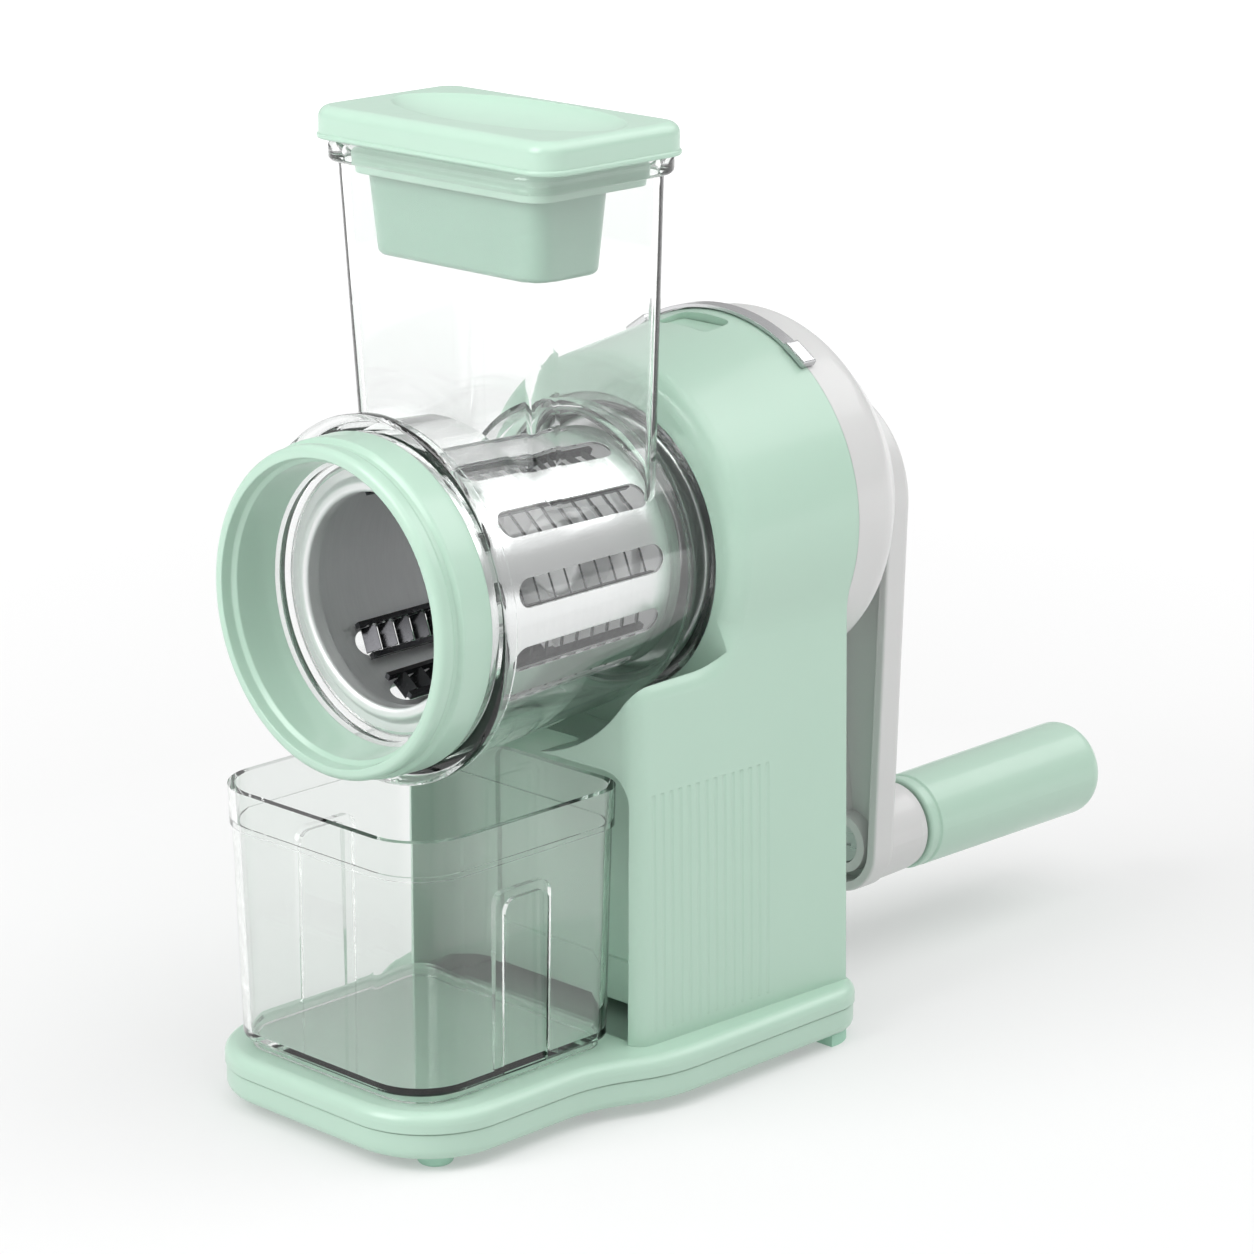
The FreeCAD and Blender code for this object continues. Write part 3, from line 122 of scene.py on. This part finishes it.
# Studio: the floor glows more with distance from the object, the world more with height
FLOOR_HALF = 8.0
FLOOR_GREY = (0.52, 0.52, 0.52, 1)
FLOOR_ROUGHNESS = 0.75
FLOOR_GLOW_NEAR = 0.30
FLOOR_GLOW_FAR = 0.85
GLOW_START = 0.3
GLOW_END = 2.0
WORLD_LOW = 0.42
WORLD_HIGH = 0.75
WORLD_START = -0.05
WORLD_END = 0.9
BARE_WHITE = (1, 1, 1, 1)


# ---------------------------------------------------------------- material kit
def new_material(name):
    material = bpy.data.materials.new(name)
    material.use_nodes = True
    tree = material.node_tree
    return material, tree, tree.nodes["Principled BSDF"]


def add(tree, kind, settings=None, values=None):
    """New node with attribute settings and default values for named inputs."""
    node = tree.nodes.new(kind)
    for key, value in (settings or {}).items():
        setattr(node, key, value)
    for key, value in (values or {}).items():
        node.inputs[key].default_value = value
    return node


def rgba(colour):
    return (colour[0], colour[1], colour[2], 1.0)


def object_space(tree):
    """Coordinates fixed to the piece, in metres."""
    return add(tree, "ShaderNodeTexCoord").outputs["Object"]


def noise(tree, vector, scale, detail=3.0, roughness=0.5):
    values = {"Scale": scale, "Detail": detail, "Roughness": roughness}
    node = add(tree, "ShaderNodeTexNoise", values=values)
    tree.links.new(vector, node.inputs["Vector"])
    return node.outputs["Fac"]


def ranged(tree, value, low, high, start=0.0, end=1.0):
    """Value remapped from start..end to low..high."""
    node = add(tree, "ShaderNodeMapRange",
               values={"From Min": start, "From Max": end, "To Min": low, "To Max": high})
    tree.links.new(value, node.inputs["Value"])
    return node.outputs["Result"]


def spread(tree, value, low, high):
    """Noise whose middle band is stretched to low..high."""
    return ranged(tree, value, low, high, NOISE_LOW, NOISE_HIGH)


def mixed(tree, factor, first, second):
    node = add(tree, "ShaderNodeMix", {"data_type": "RGBA"})
    tree.links.new(factor, node.inputs["Factor"])
    node.inputs["A"].default_value = rgba(first)
    node.inputs["B"].default_value = rgba(second)
    return node.outputs["Result"]


def bumped(tree, height, strength, distance, edge=0.0):
    """Normal with a fine relief, and with edges softened by the radius edge."""
    bump = add(tree, "ShaderNodeBump", values={"Strength": strength, "Distance": distance})
    tree.links.new(height, bump.inputs["Height"])
    if edge > 0:
        bevel = add(tree, "ShaderNodeBevel", {"samples": 4}, {"Radius": edge})
        tree.links.new(bevel.outputs["Normal"], bump.inputs["Normal"])
    return bump.outputs["Normal"]


def moulded(name, colour, shade, roughness=0.36, coat=0.4):
    """Satin moulded plastic: faint flow marks in colour, orange-peel skin, softly rounded edges."""
    material, tree, shader = new_material(name)
    space = object_space(tree)
    flow = spread(tree, noise(tree, space, FLOW_SCALE, 2.0), 0.0, 1.0)
    tree.links.new(mixed(tree, flow, colour, shade), shader.inputs["Base Color"])
    haze = noise(tree, space, HAZE_SCALE, 4.0)
    gloss = spread(tree, haze, roughness - HAZE_GLOSSIER, roughness + HAZE_DULLER)
    tree.links.new(gloss, shader.inputs["Roughness"])
    skin = noise(tree, space, SKIN_SCALE, 2.0)
    relief = bumped(tree, skin, SKIN_BUMP, SKIN_HEIGHT, MOULDED_EDGE)
    tree.links.new(relief, shader.inputs["Normal"])
    shader.inputs["Subsurface Weight"].default_value = SUBSURFACE_SHARE
    shader.inputs["Subsurface Radius"].default_value = SUBSURFACE_COLOUR
    shader.inputs["Subsurface Scale"].default_value = SUBSURFACE_DEPTH
    shader.inputs["Coat Weight"].default_value = coat
    shader.inputs["Coat Roughness"].default_value = MOULDED_COAT_ROUGHNESS
    shader.inputs["IOR"].default_value = PLASTIC_IOR
    return material


def clear_plastic(name, tint, passing):
    """Polished clear plastic that lets lamp light through to what is behind it."""
    material, tree, shader = new_material(name)
    space = object_space(tree)
    shader.inputs["Transmission Weight"].default_value = 1.0
    shader.inputs["IOR"].default_value = CLEAR_IOR
    shader.inputs["Coat Weight"].default_value = 1.0
    shader.inputs["Coat Roughness"].default_value = CLEAR_COAT_ROUGHNESS
    shader.inputs["Coat IOR"].default_value = PLASTIC_IOR
    flow = noise(tree, space, CLEAR_FLOW_SCALE, 2.0)
    shade = tuple(c * CLEAR_FLOW_SHADE for c in tint)
    tree.links.new(mixed(tree, flow, tint, shade), shader.inputs["Base Color"])
    haze = noise(tree, space, CLEAR_HAZE_SCALE, 3.0)
    gloss = spread(tree, haze, CLEAR_ROUGHNESS_LOW, CLEAR_ROUGHNESS_HIGH)
    tree.links.new(gloss, shader.inputs["Roughness"])
    ripple = noise(tree, space, RIPPLE_SCALE, 1.0)
    tree.links.new(bumped(tree, ripple, RIPPLE_BUMP, RIPPLE_HEIGHT), shader.inputs["Normal"])
    path = add(tree, "ShaderNodeLightPath")
    through = add(tree, "ShaderNodeBsdfTransparent")
    through.inputs["Color"].default_value = rgba(passing)
    mix = add(tree, "ShaderNodeMixShader")
    tree.links.new(path.outputs["Is Shadow Ray"], mix.inputs["Fac"])
    tree.links.new(shader.outputs["BSDF"], mix.inputs[1])
    tree.links.new(through.outputs["BSDF"], mix.inputs[2])
    tree.links.new(mix.outputs["Shader"], tree.nodes["Material Output"].inputs["Surface"])
    return material


def around_axis(tree):
    """Cylindrical coordinates about the drum axis: angle, height along Y, radius."""
    coordinates = add(tree, "ShaderNodeTexCoord")
    split = add(tree, "ShaderNodeSeparateXYZ")
    tree.links.new(coordinates.outputs["Object"], split.inputs["Vector"])
    lifted = add(tree, "ShaderNodeMath", {"operation": "SUBTRACT"})
    lifted.inputs[1].default_value = AXIS_Z
    tree.links.new(split.outputs["Z"], lifted.inputs[0])
    angle = add(tree, "ShaderNodeMath", {"operation": "ARCTAN2"})
    tree.links.new(lifted.outputs[0], angle.inputs[0])
    tree.links.new(split.outputs["X"], angle.inputs[1])
    flat = add(tree, "ShaderNodeCombineXYZ")
    tree.links.new(split.outputs["X"], flat.inputs["X"])
    tree.links.new(lifted.outputs[0], flat.inputs["Y"])
    length = add(tree, "ShaderNodeVectorMath", {"operation": "LENGTH"})
    tree.links.new(flat.outputs["Vector"], length.inputs[0])
    joined = add(tree, "ShaderNodeCombineXYZ")
    tree.links.new(angle.outputs[0], joined.inputs["X"])
    tree.links.new(split.outputs["Y"], joined.inputs["Y"])
    tree.links.new(length.outputs["Value"], joined.inputs["Z"])
    return joined.outputs["Vector"]


def duller_inside(tree, space, gloss, extra):
    """Roughness with extra added on faces nearer the drum axis than the middle of its wall."""
    split = add(tree, "ShaderNodeSeparateXYZ")
    tree.links.new(space, split.inputs["Vector"])
    straight = add(tree, "ShaderNodeMath", {"operation": "MULTIPLY_ADD"})
    straight.inputs[1].default_value = DRUM_TAPER
    tree.links.new(split.outputs["Y"], straight.inputs[0])
    tree.links.new(split.outputs["Z"], straight.inputs[2])
    step = add(tree, "ShaderNodeMath", {"operation": "LESS_THAN"})
    step.inputs[1].default_value = DRUM_WALL_RADIUS
    tree.links.new(straight.outputs[0], step.inputs[0])
    total = add(tree, "ShaderNodeMath", {"operation": "MULTIPLY_ADD"})
    total.inputs[1].default_value = extra
    tree.links.new(step.outputs[0], total.inputs[0])
    tree.links.new(gloss, total.inputs[2])
    return total.outputs[0]


def steel(name, colour, roughness, streak_scale, aniso=0.4, strength=0.12, edge=0.0002,
          inside=0.0):
    """Brushed steel, lines about the drum axis: streak_scale is (angle, length, radius).

    inside is the roughness added on faces on the inner side of the drum's wall.
    """
    material, tree, shader = new_material(name)
    space = around_axis(tree)
    mapping = add(tree, "ShaderNodeMapping", values={"Scale": streak_scale})
    tree.links.new(space, mapping.inputs["Vector"])
    lines = noise(tree, mapping.outputs["Vector"], 1.0, 4.0, 0.6)
    tone = spread(tree, lines, 0.0, 1.0)
    shade = tuple(c * LINE_SHADE for c in colour)
    tree.links.new(mixed(tree, tone, colour, shade), shader.inputs["Base Color"])
    gloss = spread(tree, lines, roughness - LINE_GLOSSIER, roughness + LINE_DULLER)
    if inside > 0:
        gloss = duller_inside(tree, space, gloss, inside)
    tree.links.new(gloss, shader.inputs["Roughness"])
    tree.links.new(bumped(tree, lines, strength, LINE_HEIGHT, edge), shader.inputs["Normal"])
    shader.inputs["Metallic"].default_value = 1.0
    shader.inputs["Anisotropic"].default_value = aniso
    return material


def rubber(name, colour):
    """Matt rubber with a fine grain."""
    material, tree, shader = new_material(name)
    space = object_space(tree)
    grain = noise(tree, space, GRAIN_SCALE)
    tone = noise(tree, space, RUBBER_TONE_SCALE)
    shade = tuple(c * RUBBER_SHADE for c in colour)
    tree.links.new(mixed(tree, tone, colour, shade), shader.inputs["Base Color"])
    gloss = spread(tree, grain, RUBBER_ROUGHNESS_LOW, RUBBER_ROUGHNESS_HIGH)
    tree.links.new(gloss, shader.inputs["Roughness"])
    tree.links.new(bumped(tree, grain, GRAIN_BUMP, GRAIN_HEIGHT), shader.inputs["Normal"])
    return material


# Moulded: colour, flow marks, roughness, coat. Clear: tint, share of lamp light that passes.
# Steel: colour, roughness, line scales, anisotropy, line strength, edge radius, and the
# roughness added inside the drum.
MATERIALS = {
    "mint_plastic": moulded("mint_plastic_look", MINT, MINT_DEEP),
    # Plunger: the mint darkened, a painted shade for the shade it sits in inside the hopper under
    # the lid
    "plunger_painted_shade": moulded("plunger_painted_shade_look", MINT_PAINTED_SHADE, MINT_PAINTED_SHADE_DEEP),
    "white_plastic": moulded("white_plastic_look", WHITE, WHITE_DEEP, 0.38),
    "clear_plastic": clear_plastic(
        "clear_plastic_look", (0.97, 0.98, 0.975), (0.78, 0.81, 0.795)),
    "container_plastic": clear_plastic(
        "container_plastic_look", (0.945, 0.965, 0.952), (0.66, 0.69, 0.675)),
    "drum_steel": steel(
        "drum_steel_look", (0.93, 0.93, 0.935), 0.22, (3, 1400, 500), 0.3, 0.05,
        inside=DRUM_INSIDE_DULLER),
    # Drum vanes: steel darkened nearly to black, a painted shade so the slots read as the dark
    # inside of the drum
    "vane_painted_shade": steel(
        "vane_painted_shade_look", (0.075, 0.075, 0.08), 0.26, (60, 900, 900), 0.0, 0.02),
    "plate_steel": steel(
        "plate_steel_look", (0.78, 0.785, 0.785), 0.30, (1.5, 1500, 2600), 0.6, 0.10),
    "trim_chrome": steel(
        "trim_chrome_look", (0.62, 0.62, 0.63), 0.22, (4, 3000, 500), 0.3, 0.08, 0.0003),
    "shaft_steel": steel("shaft_steel_look", (0.62, 0.62, 0.63), 0.28, (4, 2500, 900)),
    "screw_steel": steel("screw_steel_look", (0.58, 0.58, 0.60), 0.32, (60, 900, 900), 0.2),
    "spring_steel": steel("spring_steel_look", (0.60, 0.60, 0.62), 0.25, (60, 900, 900), 0.0),
    "bush_plastic": moulded(
        "bush_plastic_look", (0.60, 0.57, 0.47), (0.55, 0.52, 0.43), 0.42, 0.0),
    "carrier_plastic": moulded(
        "carrier_plastic_look", (0.27, 0.28, 0.28), (0.24, 0.25, 0.25), 0.5, 0.0),
    "foot_rubber": rubber("foot_rubber_look", (0.40, 0.66, 0.52)),
    "seal_rubber": rubber("seal_rubber_look", (0.50, 0.52, 0.51)),
}


def dress(piece, slot_name):
    piece.data.materials.clear()
    piece.data.materials.append(MATERIALS[slot_name])


# Pieces whose look is their own, the drum vanes' and the plunger's being painted shade; every other
# piece takes the look of its material slot
LOOK_OF = {"container": "container_plastic", "drum_vanes": "vane_painted_shade",
           "pusher_plunger": "plunger_painted_shade"}
SLOT_OF = {part["node"]: part["material_slot"] for part in frame["record"]["subparts"]}
for node_name, piece in NODES.items():
    dress(piece, LOOK_OF.get(node_name, SLOT_OF[node_name]))


# ---------------------------------------------------------------- button spring
SPRING_WIRE = 0.0007
SPRING_COILS = 6.0
SPRING_STEPS = 40         # points in one coil
END_COIL_SHARE = 0.10     # height taken by each closed end coil


def coil_height(share):
    """Height up the spring, 0 to 1, with the end coils closed up."""
    end = 1.0 / SPRING_COILS
    closed = END_COIL_SHARE
    if share < end:
        return closed * share / end
    if share > 1 - end:
        return 1 - closed * (1 - share) / end
    return closed + (1 - 2 * closed) * (share - end) / (1 - 2 * end)


def make_spring():
    """Wound spring under the release button."""
    low, high = (Vector(corner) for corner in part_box("button_spring"))
    centre = (low + high) / 2
    radius = (high.x - low.x) / 2 - SPRING_WIRE / 2
    bottom = low.z + SPRING_WIRE / 2
    rise = high.z - low.z - SPRING_WIRE
    count = int(SPRING_COILS * SPRING_STEPS)
    curve = bpy.data.curves.new("spring_path", "CURVE")
    curve.dimensions = "3D"
    curve.bevel_depth = SPRING_WIRE / 2
    curve.bevel_resolution = 3
    curve.use_fill_caps = True
    path = curve.splines.new("POLY")
    path.points.add(count)
    for i in range(count + 1):
        turn = 2 * math.pi * i / SPRING_STEPS
        z = bottom + rise * coil_height(i / count)
        x = centre.x + radius * math.cos(turn)
        y = centre.y + radius * math.sin(turn)
        path.points[i].co = (x, y, z, 1)
    helper = bpy.data.objects.new("spring_path", curve)
    mesh = bpy.data.meshes.new_from_object(helper)
    bpy.data.objects.remove(helper)
    for face in mesh.polygons:
        face.use_smooth = True
    spring = bpy.data.objects.new("button_spring_coil", mesh)
    bpy.context.scene.collection.objects.link(spring)
    dress(spring, "spring_steel")
    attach(spring, "stand")
    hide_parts("button_spring")
    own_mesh(spring)


make_spring()


# ---------------------------------------------------------------- stage, light, camera
def direction(azimuth, elevation):
    """Unit vector from the object towards a bearing in degrees; 0 is the mouth side."""
    a, e = math.radians(azimuth), math.radians(elevation)
    return Vector((math.sin(a) * math.cos(e), -math.cos(a) * math.cos(e), math.sin(e)))


def aim(thing, target):
    thing.rotation_euler = (thing.location - target).to_track_quat("Z", "Y").to_euler()


def area_light(name, azimuth, elevation, distance, size, power):
    data = bpy.data.lights.new(name, "AREA")
    data.shape = "RECTANGLE"
    data.size, data.size_y = size
    data.energy = power
    lamp = bpy.data.objects.new(name, data)
    bpy.context.scene.collection.objects.link(lamp)
    lamp.location = VIEW_TARGET + direction(azimuth, elevation) * distance
    aim(lamp, VIEW_TARGET)


def make_floor():
    h = FLOOR_HALF
    corners = [(-h, -h, 0), (h, -h, 0), (h, h, 0), (-h, h, 0)]
    mesh = bpy.data.meshes.new("floor")
    mesh.from_pydata(corners, [], [(0, 1, 2, 3)])
    floor = bpy.data.objects.new("floor", mesh)
    bpy.context.scene.collection.objects.link(floor)
    material, tree, shader = new_material("floor_look")
    shader.inputs["Base Color"].default_value = FLOOR_GREY
    shader.inputs["Roughness"].default_value = FLOOR_ROUGHNESS
    shader.inputs["Specular IOR Level"].default_value = 0.0
    shader.inputs["Emission Color"].default_value = BARE_WHITE
    coordinates = add(tree, "ShaderNodeTexCoord")
    reach = add(tree, "ShaderNodeVectorMath", {"operation": "LENGTH"})
    tree.links.new(coordinates.outputs["Object"], reach.inputs[0])
    glow = ranged(tree, reach.outputs["Value"],
                  FLOOR_GLOW_NEAR, FLOOR_GLOW_FAR, GLOW_START, GLOW_END)
    tree.links.new(glow, shader.inputs["Emission Strength"])
    mesh.materials.append(material)


def make_world():
    world = bpy.data.worlds.new("studio")
    bpy.context.scene.world = world
    world.use_nodes = True
    tree = world.node_tree
    background = tree.nodes["Background"]
    space = add(tree, "ShaderNodeTexCoord")
    split = add(tree, "ShaderNodeSeparateXYZ")
    tree.links.new(space.outputs["Generated"], split.inputs["Vector"])
    rise = ranged(tree, split.outputs["Z"], WORLD_LOW, WORLD_HIGH, WORLD_START, WORLD_END)
    tree.links.new(rise, background.inputs["Strength"])
    background.inputs["Color"].default_value = BARE_WHITE


def make_camera():
    data = bpy.data.cameras.new("camera")
    data.lens = VIEW_LENS
    data.sensor_width = SENSOR
    data.sensor_height = SENSOR
    data.clip_start = 0.05
    data.clip_end = 50
    camera = bpy.data.objects.new("camera", data)
    bpy.context.scene.collection.objects.link(camera)
    camera.location = VIEW_TARGET + direction(VIEW_AZIMUTH, VIEW_ELEVATION) * VIEW_DISTANCE
    aim(camera, VIEW_TARGET)
    bpy.context.scene.camera = camera


make_floor()
make_world()
make_camera()
# Lamps: bearing and height in degrees, distance and size in metres, power in watts
area_light("key_softbox", -15, 38, 1.7, (1.0, 1.2), 18)
area_light("top_softbox", 90, 66, 1.6, (1.4, 1.4), 9.5)
area_light("back_softbox", 158, 42, 2.2, (1.6, 1.2), 11)

scene = bpy.context.scene
scene.view_settings.view_transform = "Standard"
scene.view_settings.look = "None"
scene.cycles.use_denoising = True
scene.cycles.max_bounces = 24
scene.cycles.transmission_bounces = 24
scene.cycles.transparent_max_bounces = 32
